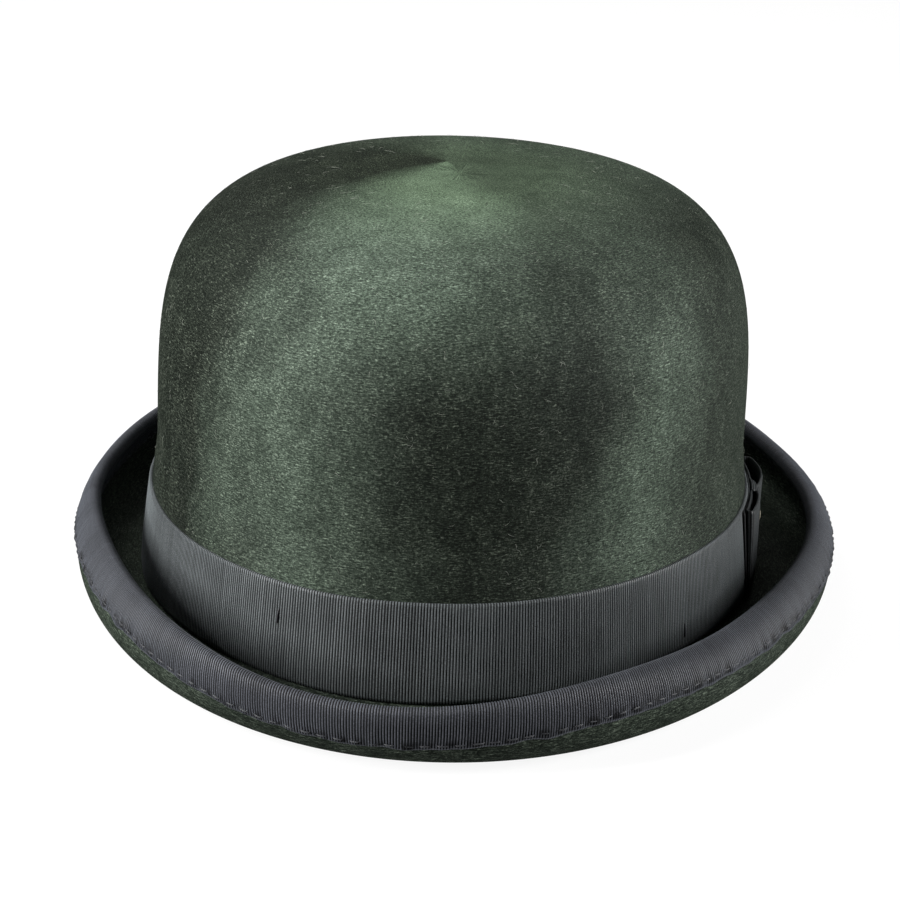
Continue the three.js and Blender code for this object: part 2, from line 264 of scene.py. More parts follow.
def ring(name, rows, along, down):
    """A closed ring: rows of points round the hat, the last joined to the first.
    along is each column's length round (one more than the columns), down each row's (one more)."""
    points = np.stack(rows)
    count, columns = points.shape[:2]
    faces, corner = grid_faces(count, columns, True, True)
    uvs = np.stack([along[corner[..., 1]], down[corner[..., 0]]], -1)
    return build(name, points.reshape(-1, 3), faces, list(uvs))


def down_lengths(rows, closed=True):
    """Lengths down the first column of some rows, with one more that closes the loop."""
    points = np.stack([row[0] for row in rows])
    points = np.concatenate([points, points[:1]]) if closed else points
    return np.concatenate([[0], np.cumsum(np.linalg.norm(np.diff(points, axis=0), axis=1))])


def tube_parts(path, radii, sides):
    """Points and faces of a closed tube along a path, its ends shut by flat caps."""
    path = np.asarray(path, float)
    tangent = np.gradient(path, axis=0)
    tangent /= np.linalg.norm(tangent, axis=1, keepdims=True)
    start = np.array([0, 0, 1.0]) if abs(tangent[0][2]) < 0.8 else np.array([1.0, 0, 0])
    side = np.cross(tangent, start)
    side /= np.linalg.norm(side, axis=1, keepdims=True)
    up = np.cross(side, tangent)
    turn = np.arange(sides) * 2 * math.pi / sides
    circle = np.cos(turn)[None, :, None] * side[:, None] + np.sin(turn)[None, :, None] * up[:, None]
    points = path[:, None] + circle * np.asarray(radii)[:, None, None]
    faces = [list(f) for f in grid_faces(len(path), sides, False, True)[0]]
    last = (len(path) - 1) * sides
    faces.append(list(range(sides))[::-1])
    faces.append(list(range(last, last + sides)))
    return points.reshape(-1, 3), faces


def tubes(name, paths, radii, sides):
    """Many short tubes as one piece."""
    points, faces, start = [], [], 0
    for path in paths:
        some, quads = tube_parts(path, radii, sides)
        points.append(some)
        faces += [[i + start for i in f] for f in quads]
        start += len(some)
    return build(name, np.concatenate(points), faces)


def ring_tube(name, centre, radius, sides, count=288):
    """A cord or thread that closes on itself round the hat."""
    angle = np.arange(count) * 2 * math.pi / count
    middle, out = centre(angle), outward(angle)
    rows = []
    for turn in np.arange(sides) * 2 * math.pi / sides:
        row = middle + out * radius * math.cos(turn)
        row[:, 2] += radius * math.sin(turn)
        rows.append(row)
    along = np.linspace(0, 1, count + 1) * 560
    return ring(name, rows, along, np.linspace(0, 2 * math.pi * radius, sides + 1))


def waves(angle, seed, count, low, high):
    """A smooth closed wobble round the hat, about -1 to 1."""
    rng = np.random.default_rng(seed)
    total = np.zeros_like(angle)
    for _ in range(count):
        total += np.sin(angle * rng.integers(low, high) + rng.uniform(0, 2 * math.pi))
    return total / math.sqrt(count)


# --- materials ------------------------------------------------------------------------------


class Look:
    """A Principled material and short calls for the nodes that feed it."""

    def __init__(self, name, **values):
        self.material = bpy.data.materials.new(name)
        self.material.use_nodes = True
        self.tree = self.material.node_tree
        self.shader = self.tree.nodes["Principled BSDF"]
        for socket, value in values.items():
            self.shader.inputs[socket.replace("_", " ")].default_value = value

    def node(self, kind, inputs=(), **settings):
        made = self.tree.nodes.new(kind)
        for key, value in settings.items():
            setattr(made, key, value)
        for socket, value in dict(inputs).items():
            if isinstance(value, bpy.types.NodeSocket):
                self.tree.links.new(value, made.inputs[socket])
            else:
                made.inputs[socket].default_value = value
        return made

    def cloth(self, scale):
        """The cloth coordinates (millimetres round, millimetres down), scaled."""
        uv = self.node("ShaderNodeUVMap", uv_map="cloth")
        return self.mapped(uv.outputs[0], scale)

    def place(self, scale):
        """The place in the hat, in units of a millimetre, scaled."""
        at = self.node("ShaderNodeTexCoord")
        return self.mapped(at.outputs["Object"], tuple(1000 * s for s in scale))

    def mapped(self, vector, scale):
        return self.node("ShaderNodeMapping", {0: vector, 3: scale}).outputs[0]

    def noise(self, vector, scale=1.0, detail=2.0, roughness=0.5, warp=0.0):
        made = self.node(
            "ShaderNodeTexNoise",
            {"Vector": vector, "Scale": scale, "Detail": detail, "Roughness": roughness,
             "Distortion": warp})
        return made.outputs[0]

    def math(self, operation, a, b=0.0):
        return self.node("ShaderNodeMath", {0: a, 1: b}, operation=operation).outputs[0]

    def spread(self, value, low, high, to_low=0.0, to_high=1.0):
        made = self.node(
            "ShaderNodeMapRange", {0: value, 1: low, 2: high, 3: to_low, 4: to_high})
        return made.outputs[0]

    def ramp(self, value, stops):
        made = self.node("ShaderNodeValToRGB", {0: value})
        ramp = made.color_ramp
        while len(ramp.elements) < len(stops):
            ramp.elements.new(0.5)
        for element, (at, colour) in zip(ramp.elements, stops):
            element.position = at
            element.color = (*colour, 1)
        return made.outputs[0]

    def mix(self, share, a, b, blend="MIX"):
        made = self.node("ShaderNodeMix", data_type="RGBA", blend_type=blend)
        for socket, value in ((0, share), (6, a), (7, b)):
            if isinstance(value, bpy.types.NodeSocket):
                self.tree.links.new(value, made.inputs[socket])
            else:
                made.inputs[socket].default_value = value if socket == 0 else (*value, 1)
        return made.outputs[2]

    def colour(self, socket):
        self.tree.links.new(socket, self.shader.inputs["Base Color"])

    def roughness(self, socket):
        self.tree.links.new(socket, self.shader.inputs["Roughness"])

    def bump(self, height, distance, strength=1.0):
        made = self.node(
            "ShaderNodeBump", {"Height": height, "Distance": distance * MM, "Strength": strength})
        self.tree.links.new(made.outputs[0], self.shader.inputs["Normal"])


# How light the felt is painted round the crown, as (share of the way round from the wearer's left
# over the back, lightness), low on the wall, on the shoulder, and near the swirl at the tip. It is
# partly the nap's lay and partly painted highlight and painted shade: the front follows the light
# and dark areas in the photo, with painted highlights on the front left, on the front right and at
# the tip, and painted shade at the middle front and at the edges, and the back (0 to 0.5) is
# invented.
LIGHT_AND_NAP_WALL = (
    (0.0, 0.07), (0.06, 0.2), (0.13, 0.07), (0.22, 0.4), (0.3, 0.14), (0.38, 0.3), (0.47, 0.06),
    (0.63, 0.01), (0.68, 0.4), (0.77, 0.05), (0.83, 0.05), (0.88, 0.5), (0.93, 0.12))
LIGHT_AND_NAP_SHOULDER = (
    (0.0, 0.06), (0.08, 0.27), (0.17, 0.13), (0.28, 0.34), (0.4, 0.12), (0.53, 0.01),
    (0.64, 0.05), (0.7, 0.6), (0.75, 0.57), (0.82, 0.14), (0.91, 0.25), (0.95, 0.07))
LIGHT_AND_NAP_TIP = (
    (0.0, 0.3), (0.25, 0.4), (0.44, 0.02), (0.61, 0.03), (0.72, 0.94), (0.79, 0.94),
    (0.86, 0.38))
SWIRL = (-5.5, 13.0)  # where the nap's swirl lies from the crown's middle


def felt_look():
    """Napped felt. Lightness, partly the nap's lay and partly painted highlight and painted shade,
    is laid round the crown by angle, in three zones of the length down from the tip, with one fixed
    low level over the brim, and hair and cloud set where each spot falls in its zone's colours."""
    look = Look("felt_hemlock", Roughness=0.55, Specular_IOR_Level=0.14,
                Specular_Tint=(0.85, 1.0, 0.87, 1))
    down = look.node("ShaderNodeSeparateXYZ", {0: look.cloth((1, 1, 1))}).outputs[1]
    at = look.node("ShaderNodeSeparateXYZ", {0: look.place((1, 1, 1))}).outputs
    middle = [look.spread(down, 10, 90, HAT_ORIGIN[i] + SWIRL[i], HAT_ORIGIN[i]) for i in (0, 1)]
    x, y = (look.math("SUBTRACT", at[i], middle[i]) for i in (0, 1))
    y = look.math("DIVIDE", y, OVAL_RATIO)
    turn = look.math("DIVIDE", look.math("ARCTAN2", y, x), 2 * math.pi)
    drift = look.noise(look.place((0.02, 0.02, 0.02)), detail=3.0, roughness=0.6)
    around = look.math("FRACT", look.math("ADD", turn, look.spread(drift, 0.3, 0.7, 0.975, 1.025)))
    # These three ramps hold painted highlight and painted shade as well as the nap's lay.
    wall_light_and_nap, shoulder_light_and_nap, tip_light_and_nap = (
        look.ramp(around, [(share, (light, light, light)) for share, light in stops])
        for stops in (LIGHT_AND_NAP_WALL, LIGHT_AND_NAP_SHOULDER, LIGHT_AND_NAP_TIP))
    dome = look.mix(look.spread(down, 25, 60), tip_light_and_nap, shoulder_light_and_nap)
    crown = look.mix(look.spread(down, 65, 95), dome, wall_light_and_nap)
    nap_and_painted_light = look.mix(look.spread(down, 165, 170), crown, (0.14, 0.14, 0.14))
    cloud = look.noise(look.place((0.1, 0.1, 0.07)), detail=4.0, roughness=0.65, warp=0.8)
    lain = look.node(
        "ShaderNodeMapping",
        {0: look.cloth((1, 1, 1)), 2: (0, 0, 0.3), 3: (0.65, 3.3, 1)}).outputs[0]
    nap = look.noise(lain, detail=3.0, roughness=0.75, warp=0.8)
    fine = look.noise(look.place((1.9, 1.9, 1.9)), detail=2.0, roughness=0.8)
    hair = look.math("ADD", look.math("MULTIPLY", nap, 0.66), look.math("MULTIPLY", fine, 0.34))
    tone = look.math("ADD", look.math("MULTIPLY", hair, 0.88), look.math("MULTIPLY", cloud, 0.12))
    bright = look.ramp(tone, [
        (0.38, (0.012, 0.017, 0.012)), (0.47, (0.055, 0.077, 0.056)),
        (0.54, (0.125, 0.167, 0.125)), (0.66, (0.36, 0.46, 0.36))])
    # The palest hairs in the dim colours are partly pale fibres and partly painted glints on the
    # nap.
    dim = look.ramp(tone, [
        (0.38, (0.0, 0.0002, 0.0)), (0.48, (0.0016, 0.0022, 0.0014)),
        (0.56, (0.019, 0.023, 0.017)), (0.68, (0.17, 0.195, 0.15))])
    # Mixing the dim and bright colours by this level paints the highlights and the shade into the
    # felt's colour.
    base = look.mix(nap_and_painted_light, dim, bright)
    look.colour(look.mix(look.spread(down, 15, 55, 1, 0), base, (0.96, 1.03, 0.87), "MULTIPLY"))
    look.roughness(look.spread(tone, 0.42, 0.58, 0.7, 0.5))
    look.bump(hair, 0.35, 0.8)
    return look.material


def ribbon_look(name, pitch, dark, light, dented=False):
    """Ribbed ribbon: the ribs are in the mesh, and this darkens the threads between them as painted
    shade in the grooves. A dented one has painted shade in its dents along its first selvedge,
    which is paler."""
    look = Look(name, Roughness=0.5, Specular_IOR_Level=0.25, Sheen_Weight=0.03,
                Sheen_Roughness=0.35, Sheen_Tint=(0.75, 0.8, 0.9, 1))
    place = look.node("ShaderNodeSeparateXYZ", {0: look.cloth((1, 1, 1))})
    ridge = look.math("PINGPONG", look.math("DIVIDE", place.outputs[0], pitch), 0.5)
    weft = look.noise(look.cloth((1.1, 4.5, 1)), detail=2.0, roughness=0.6)
    streak = look.noise(look.cloth((0.9, 0.03, 1)), detail=2.0, roughness=0.7)
    fade = look.noise(look.place((0.05, 0.05, 0.08)), detail=3.0, roughness=0.6)
    tone = look.math("ADD", look.math("MULTIPLY", weft, 0.5), look.math("MULTIPLY", fade, 0.2))
    tone = look.math("ADD", tone, look.math("MULTIPLY", streak, 0.3))
    cloth = look.mix(look.spread(tone, 0.38, 0.64), dark, light)
    # The grooves between the ribs are painted nearly black: painted shade.
    painted_groove_shade = tuple(c * 0.03 for c in dark)
    ribbed = look.mix(look.spread(ridge, 0.17, 0.32), painted_groove_shade, cloth)
    if dented:
        down = place.outputs[1]
        dent = look.noise(look.cloth((0.3, 0.12, 1)), detail=3.0, roughness=0.7)
        near = look.math(
            "MULTIPLY", look.spread(down, 0.7, 1.0), look.spread(down, 2.0, 4.0, 1, 0))
        # Dents by the stitches take the groove colour: painted shade.
        dent_painted_shade = look.math("MULTIPLY", near, look.spread(dent, 0.47, 0.6, 0, 0.85))
        ribbed = look.mix(dent_painted_shade, ribbed, painted_groove_shade)
        ribbed = look.mix(look.spread(down, 0.45, 0.8, 0.55, 0), ribbed, light)
    look.colour(ribbed)
    look.roughness(look.spread(ridge, 0.05, 0.4, 0.9, 0.42))
    look.bump(weft, 0.08, 0.7)
    return look.material


def thread_look(name, colour):
    look = Look(name, Roughness=0.55, Sheen_Weight=0.2, Sheen_Roughness=0.4)
    twist = look.noise(look.place((4, 4, 4)), detail=2.0)
    dark = tuple(c * 0.55 for c in colour)
    look.colour(look.mix(look.spread(twist, 0.3, 0.7), dark, colour))
    look.bump(twist, 0.05, 0.6)
    return look.material


def leather_look():
    look = Look("sweatband_leather", Roughness=0.45, Specular_IOR_Level=0.4)
    cells = look.node(
        "ShaderNodeTexVoronoi", {"Vector": look.place((1, 1, 1)), "Scale": 0.9},
        feature="DISTANCE_TO_EDGE").outputs[0]
    creases = look.spread(cells, 0.0, 0.16)
    tone = look.noise(look.place((0.06, 0.06, 0.06)), detail=4.0, roughness=0.6)
    fine = look.noise(look.place((2, 2, 2)), detail=3.0)
    look.colour(look.ramp(tone, [
        (0.3, (0.030, 0.014, 0.007)), (0.55, (0.060, 0.029, 0.014)), (0.75, (0.095, 0.05, 0.026))]))
    look.roughness(look.spread(fine, 0.3, 0.7, 0.36, 0.56))
    height = look.math("ADD", look.math("MULTIPLY", creases, 0.6), look.math("MULTIPLY", fine, 0.4))
    look.bump(height, 0.12, 0.7)
    return look.material


def satin_look():
    look = Look("lining_satin", Roughness=0.34, Specular_IOR_Level=0.5, Anisotropic=0.5,
                Sheen_Weight=0.25, Sheen_Roughness=0.3)
    weave = look.noise(look.cloth((6, 1.2, 1)), detail=2.0)
    fade = look.noise(look.place((0.04, 0.04, 0.04)), detail=3.0)
    tone = look.math("ADD", look.math("MULTIPLY", weave, 0.35), look.math("MULTIPLY", fade, 0.65))
    look.colour(look.mix(look.spread(tone, 0.3, 0.7), (0.15, 0.17, 0.145), (0.25, 0.275, 0.24)))
    look.roughness(look.spread(weave, 0.3, 0.7, 0.28, 0.42))
    look.bump(weave, 0.04, 0.5)
    return look.material


def plain_look(name, dark, light, roughness, grain):
    look = Look(name, Roughness=roughness)
    speck = look.noise(look.place((grain, grain, grain)), detail=3.0, roughness=0.65)
    look.colour(look.mix(look.spread(speck, 0.3, 0.7), dark, light))
    look.roughness(look.spread(speck, 0.3, 0.7, roughness - 0.08, roughness + 0.08))
    look.bump(speck, 0.05, 0.5)
    return look.material


# --- camera, lights, floor ------------------------------------------------------------------

CAMERA_TARGET = Vector((-0.0025, -0.0054, 0.03769))
CAMERA_AZIMUTH = math.radians(6.525)
CAMERA_ELEVATION = math.radians(19.095)
CAMERA_ROLL = math.radians(2.167)
CAMERA_DISTANCE = 0.8
CAMERA_LENS = 110.31


def direction(azimuth, elevation):
    flat = math.cos(elevation)
    return Vector((math.sin(azimuth) * flat, -math.cos(azimuth) * flat, math.sin(elevation)))


def make_camera():
    data = bpy.data.cameras.new("camera")
    data.lens, data.sensor_width = CAMERA_LENS, 36.0
    camera = bpy.data.objects.new("camera", data)
    bpy.context.scene.collection.objects.link(camera)
    back = direction(CAMERA_AZIMUTH, CAMERA_ELEVATION)
    turned = back.to_track_quat("Z", "Y").to_matrix().to_4x4()
    roll = Matrix.Rotation(CAMERA_ROLL, 4, "Z")
    camera.matrix_world = Matrix.Translation(CAMERA_TARGET + back * CAMERA_DISTANCE) @ turned @ roll
    bpy.context.scene.camera = camera


def softbox(name, azimuth, elevation, distance, size, power):
    data = bpy.data.lights.new(name, "AREA")
    data.shape, (data.size, data.size_y) = "RECTANGLE", size
    data.energy = power
    light = bpy.data.objects.new(name, data)
    way = direction(math.radians(azimuth), math.radians(elevation))
    light.location = Vector((0, 0, 0.05)) + way * distance
    light.rotation_mode = "QUATERNION"
    light.rotation_quaternion = (-way).to_track_quat("-Z", "Y")
    bpy.context.scene.collection.objects.link(light)


def make_stage():
    half = 6.0
    corners = [(-half, -half, 0), (half, -half, 0), (half, half, 0), (-half, half, 0)]
    mesh = bpy.data.meshes.new("floor")
    mesh.from_pydata(corners, [], [(0, 1, 2, 3)])
    floor = bpy.data.objects.new("floor", mesh)
    floor.visible_glossy = False
    bpy.context.scene.collection.objects.link(floor)
    look = Look("floor_paper", Roughness=0.8, Specular_IOR_Level=0.1, Emission_Strength=0.9)
    look.shader.inputs["Base Color"].default_value = (0.1, 0.1, 0.1, 1)
    look.shader.inputs["Emission Color"].default_value = (1, 1, 1, 1)
    mesh.materials.append(look.material)
    world = bpy.data.worlds.new("world")
    world.use_nodes = True
    world.node_tree.nodes["Background"].inputs[0].default_value = (1, 1, 1, 1)
    world.node_tree.nodes["Background"].inputs[1].default_value = 0.02
    bpy.context.scene.world = world
    bpy.context.scene.view_settings.view_transform = "Standard"
    softbox("left_softbox", -60, 24, 1.5, (0.35, 0.75), 47)
    softbox("right_softbox", 104, 9, 1.5, (0.3, 0.7), 10)
    softbox("fill_softbox", 86, 28, 1.5, (0.4, 0.6), 24)
    softbox("top_softbox", -110, 64, 1.5, (0.6, 0.6), 11)
    softbox("back_softbox", 178, 52, 1.8, (0.8, 0.6), 3)


# --- the felt shell -------------------------------------------------------------------------

FELT_COLUMNS = 384


def felt_rows(offset, spacing):
    """Rows from near the crown's tip down to the brim's edge, at an offset from the outside."""
    angle = np.arange(FELT_COLUMNS) * 2 * math.pi / FELT_COLUMNS
    low = 6.0
    heights = crown_heights(low, CROWN_HEIGHT - 0.002, spacing)[::-1]
    rows = [on_crown(angle, height, offset) for height in heights]
    root_top = around_brim(ROOT_HEIGHT, angle) + ROOT_RADIUS
    for share in (0.5, 0.999):
        rows.append(on_crown(angle, low + (root_top - low) * share, offset))
    width = brim_width(angle)
    for share in np.linspace(0, 1, 44)[1:]:
        row = on_brim(angle, width * share, offset + FELT / 2)
        row[:, 2] = np.maximum(row[:, 2], -LIFT)
        rows.append(row)
    return rows


def felt_shell(look):
    outer = felt_rows(0.0, 1.9)
    inner = felt_rows(-FELT, 3.6)[::-1]
    rows = outer + inner
    points = np.stack(rows)
    count, columns = points.shape[:2]
    faces, corner = grid_faces(count, columns, False, True)
    down = down_lengths(rows, closed=False)
    along = np.linspace(0, 2 * math.pi * BASE_HALF_WIDTH, columns + 1)
    uvs = list(np.stack([along[corner[..., 1]], down[corner[..., 0]]], -1))
    faces = [list(f) for f in faces]
    flat = points.reshape(-1, 3)
    tips = [np.array([0, 0, CROWN_HEIGHT]), np.array([0, 0, CROWN_HEIGHT - FELT])]
    flat = np.concatenate([flat, tips])
    for tip, first, order in ((0, 0, -1), (1, (count - 1) * columns, 1)):
        for c in range(columns):
            corners = [count * columns + tip, first + c, first + (c + 1) % columns]
            lengths = [(along[c], down[0]), (along[c], down[0]), (along[c + 1], down[0])]
            faces.append(corners if order > 0 else corners[::-1])
            uvs.append(np.array(lengths if order > 0 else lengths[::-1]))
    shell = build("felt_shell", flat, faces, uvs)
    shell.data.materials.append(look)
    return shell


def felt_fibres(look, count=1100):
    """Loose pale hairs that lie on the crown, each rooted in the felt."""
    rng = np.random.default_rng(7)
    angle = rng.uniform(0, 2 * math.pi, count)
    height = crown_heights(BAND_TOP + 1, CROWN_HEIGHT - 0.5, 0.02)
    height = height[(rng.uniform(0, 1, count) * len(height)).astype(int)]
    share = np.linspace(0, 1, 6)
    paths = []
    for a, h in zip(angle, height):
        reach = rng.uniform(1.0, 3.0)
        lay = rng.normal(-0.35, 0.8)
        bend = rng.normal(0, 0.9)
        heading = lay + bend * share
        along = np.cumsum(np.cos(heading)) * reach / 6
        rise = np.cumsum(np.sin(heading)) * reach / 6
        here = max(float(crown_half_width(h)), 12.0)
        slope = 1.0 if h < 90 else max(0.12, math.cos((h - 90) / 28 * 1.45))
        top = np.minimum(h + rise * slope, CROWN_HEIGHT - 0.01)
        lift = -0.15 + rng.uniform(0.2, 0.55) * np.sin(share * 2.2)
        paths.append(on_crown(a + along / here, top, lift))
    fibres = tubes("felt_fibres", paths, [0.028, 0.03, 0.03, 0.028, 0.02, 0.01], 3)
    fibres.data.materials.append(look)
    return fibres


# --- ribbons --------------------------------------------------------------------------------


def ribs(count, per_rib):
    """Heights of the ribs' columns: a narrow groove, then a rounded top."""
    shape = {3: (0.0, 1.0, 1.0), 4: (0.0, 0.75, 1.0, 0.75)}[per_rib]
    return np.resize(shape, count) * RIB_HEIGHT


def hat_band(look):
    per_rib = 4
    angle, along = even_angles(lambda a: oval(a, BASE_HALF_WIDTH), BAND_RIB, per_rib)
    rib = ribs(len(angle), per_rib)
    foot = around_brim(ROOT_HEIGHT, angle) + BAND_FOOT
    top = BAND_TOP + 0.15 * waves(angle, 3, 5, 3, 14)
    ease = 0.08 * waves(angle, 8, 6, 4, 24)
    profile = [  # height, how far off the felt, how much of the rib
        (foot, 0.35, 0), (foot, 0.66, 0.1), (foot + 0.9, 0.72, 0.3), (foot + 1.3, 0.66, 1),
        (foot + (top - foot) * 0.25, 0.7, 1), (foot + (top - foot) * 0.5, 0.7, 1),
        (foot + (top - foot) * 0.75, 0.7, 1), (top - 1.3, 0.66, 1), (top - 0.9, 0.74, 0.3),
        (top - 0.1, 0.72, 0.1), (top, 0.4, 0)]
    outer = [on_crown(angle, height, rise + ribbed * rib + ease * ribbed)
             for height, rise, ribbed in profile]
    inner = [on_crown(angle, height, -0.1) for height in (top - 0.1, (foot + top) / 2, foot + 0.1)]
    rows = outer + inner
    band = ring("hat_band_ribbon", rows, along, down_lengths(rows))
    band.data.materials.append(look)
    return band


def edge_binding(look):
    per_rib = 3
    angle, along = even_angles(lambda a: on_brim(a, brim_width(a), 0.0), BINDING_RIB, per_rib)
    rib = ribs(len(angle), per_rib)
    width = brim_width(angle)
    pucker = waves(angle, 21, 9, 40, 150)
    stitch_pull = np.cos(2 * math.pi * along[:-1] / STITCH_PITCH)
    backs = (0, 0.7, 1.6, 3.2, 5.0, 7.0)  # how far in from the selvedge each row lies

    def side_row(sign, drift, back):
        lift = (0.2 * pucker + 0.1 * stitch_pull) * math.exp(-((back - 0.7) / 2.6) ** 2)
        if back == 0:
            height = BINDING_OUT - 0.25 + lift * 0.35 + rib * 0.15
        else:
            height = BINDING_OUT + lift + rib
        across = width - BINDING_WIDTH + back + drift * math.exp(-back / 2)
        return on_brim(angle, across, sign * height)

    under_drift, upper_drift = (0.25 * waves(angle, seed, 8, 20, 90) for seed in (5, 6))
    rows = [side_row(-1, under_drift, back) for back in backs]
    for degrees in (-75, -45, -15, 15, 45, 75):
        turn = math.radians(degrees)
        radius = BINDING_OUT + rib
        rows.append(on_brim(angle, width + radius * math.cos(turn), radius * math.sin(turn)))
    rows += [side_row(1, upper_drift, back) for back in backs[::-1]]
    near = FELT / 2 - 0.15
    inner_backs = (0.05, 4, BINDING_WIDTH - 0.3)
    rows += [on_brim(angle, width - BINDING_WIDTH + back, near) for back in inner_backs]
    rows += [on_brim(angle, width - BINDING_WIDTH + back, -near) for back in inner_backs[::-1]]
    binding = ring("edge_binding_ribbon", rows, along, down_lengths(rows))
    binding.data.materials.append(look)
    return binding


def stitch_row(name, sign, look):
    """A row of separate stitches near the binding's selvedge, each sunk in at its ends."""
    place = lambda a, off: on_brim(a, brim_width(a) - BINDING_WIDTH + STITCH_BACK, sign * off)
    angle, _ = even_angles(lambda a: place(a, BINDING_OUT), STITCH_PITCH, 1)
    gap = np.append(angle, 2 * math.pi)
    rng = np.random.default_rng(11)
    share = np.linspace(0, 1, 7)
    sink = 0.42 * (np.abs(share * 2 - 1) ** 4)
    paths = []
    for start, end in zip(gap[:-1], gap[1:]):
        span = (end - start) * rng.uniform(0.64, 0.74)
        tilt = rng.uniform(-0.12, 0.12)
        at = start + span * share
        off = BINDING_OUT + RIB_HEIGHT + 0.12 - sink
        along = brim_width(at) - BINDING_WIDTH + STITCH_BACK + tilt * (share - 0.5) * 2
        paths.append(on_brim(at, along, sign * off))
    row = tubes(name, paths, [0.1, 0.15, 0.18, 0.18, 0.18, 0.15, 0.1], 6)
    row.data.materials.append(look)
    return row


def wall_tack(name, degrees, height, offset, length, look):
    share = np.linspace(-1, 1, 9)
    angle = math.radians(degrees) + 0.0015 * share
    path = on_crown(angle, height + share * length / 2, offset + 0.25 - 0.45 * np.abs(share) ** 3)
    tack = tubes(name, [path], [0.12, 0.17, 0.2, 0.21, 0.21, 0.21, 0.2, 0.17, 0.12], 8)
    tack.data.materials.append(look)
    return tack


# --- the bow --------------------------------------------------------------------------------


def resample(path, spacing):
    path = np.asarray(path, float)
    length = np.concatenate([[0], np.cumsum(np.hypot(*np.diff(path, axis=0).T))])
    count = max(3, int(length[-1] / spacing) + 1)
    wanted = np.linspace(0, length[-1], count)
    points = np.stack([np.interp(wanted, length, path[:, i]) for i in range(2)], -1)
    return points, np.arange(count) * spacing


def bow_place(along, height, offset):
    """Points beside the crown, along is measured round the wall from the bow's middle.
    The bow is pressed flatter towards its foot."""
    share = np.clip((height - BOW_FOOT) / (BOW_TOP - BOW_FOOT), 0, 1)
    offset = BOW_NEAR + (offset - BOW_NEAR) * (0.35 + 0.65 * share)
    return on_crown(BOW_ANGLE + along / wall_length_per_radian(BOW_ANGLE), height, offset)


def ribbon(name, path, low, high, place, look, pinch=None):
    """A ribbed ribbon that follows a flat path, from low to high across its width."""
    path, wanted = resample(path, BAND_RIB / 4)
    tangent = np.gradient(path, axis=0)
    tangent /= np.linalg.norm(tangent, axis=1, keepdims=True)
    normal = np.stack([-tangent[:, 1], tangent[:, 0]], -1)
    rib = ribs(len(path), 4)
    across = (0.0, 0.03, 0.045, 0.25, 0.5, 0.75, 0.955, 0.97, 1.0)
    ribbed = (0.0, 0.2, 1, 1, 1, 1, 1, 0.2, 0.0)
    narrowed = 0 if pinch is None else pinch(path[:, 0])
    lows = np.full(len(path), low) + narrowed
    highs = np.full(len(path), high) - narrowed
    half = (RIBBON - 0.1) / 2
    last = len(across) - 1
    loop = []
    for side, order in ((1, range(last + 1)), (-1, range(last, -1, -1))):
        for i in order:
            thick = side * (half * (0.7 if i in (0, last) else 1) + rib * ribbed[i])
            at = path + normal * thick[:, None]
            loop.append(place(at[:, 0], lows + (highs - lows) * across[i], at[:, 1]))
    points = np.stack(loop)
    rows, columns = points.shape[:2]
    faces, corner = grid_faces(rows, columns, True, False)
    down = down_lengths(list(points))
    uvs = list(np.stack([wanted[corner[..., 1]], down[corner[..., 0]]], -1))
    faces = [list(f) for f in faces]
    for column, order in ((0, 1), (columns - 1, -1)):
        for i in range(rows // 2 - 1):
            cap = [i, i + 1, rows - 2 - i, rows - 1 - i][::order]
            faces.append([r * columns + column for r in cap])
            uvs.append(np.array([(wanted[column], down[r]) for r in cap]))
    piece = build(name, points.reshape(-1, 3), faces, uvs)
    piece.data.materials.append(look)
    return piece


def loop_path(direction_sign, height):
    """Out along the backing from the knot, round the far end and back over the top."""
    base = BOW_OFFSET + RIBBON
    start, end = 0.8, BOW_HALF_LENGTH - 1.2
    turn = np.linspace(0, 2 * math.pi, 200)[1:-1]
    share = (1 - np.cos(turn)) / 2
    swell = np.where(turn < math.pi, 0.0, 1.0) * height * np.sin(np.pi * share**0.8) ** 0.9
    leaf = np.where(turn < math.pi, 0.0, (RIBBON + 0.15) + 0.55 * height * share**2)
    offset = base + leaf + 0.75 * swell
    kernel = np.hanning(31) / np.hanning(31).sum()
    padded = np.concatenate([np.full(15, offset[0]), offset, np.full(15, offset[-1])])
    smooth = np.convolve(padded, kernel, mode="valid")
    path = np.stack([start + (end - start) * share, smooth], -1)
    return path * np.array([direction_sign, 1])


def side_bow(look, thread):
    flat = [(-BOW_HALF_LENGTH, BOW_OFFSET), (0, BOW_OFFSET), (BOW_HALF_LENGTH, BOW_OFFSET)]
    rear, front = loop_path(1, REAR_LOOP_HEIGHT), loop_path(-1, FRONT_LOOP_HEIGHT)
    pinch = lambda along: 1.5 * np.exp(-((along / 5.0) ** 2))
    knot_top = BOW_OFFSET + RIBBON * 2.6 + 1.3
    middle = (BOW_FOOT + BOW_TOP) / 2
    half = (BOW_TOP - BOW_FOOT) / 2
    turn = np.linspace(-0.98, 0.98, 60)
    knot_foot = BOW_OFFSET - 0.3
    knot_offset = knot_foot + (knot_top - knot_foot) * (1 - np.abs(turn) ** 7) ** 0.6
    knot_path = np.stack([middle + (half - 0.2) * turn, knot_offset], -1)
    sideways = lambda height, along, offset: bow_place(along, height, offset)
    return [
        ribbon("bow_backing_ribbon", flat, BOW_FOOT + 0.3, BOW_TOP - 0.3, bow_place, look),
        ribbon("bow_rear_ribbon", rear, BOW_FOOT, BOW_TOP, bow_place, look, pinch),
        ribbon("bow_front_ribbon", front, BOW_FOOT, BOW_TOP, bow_place, look, pinch),
        ribbon("bow_knot_ribbon", knot_path, -KNOT_HALF_LENGTH, KNOT_HALF_LENGTH, sideways, look),
        bow_stitch(knot_top, thread),
    ]


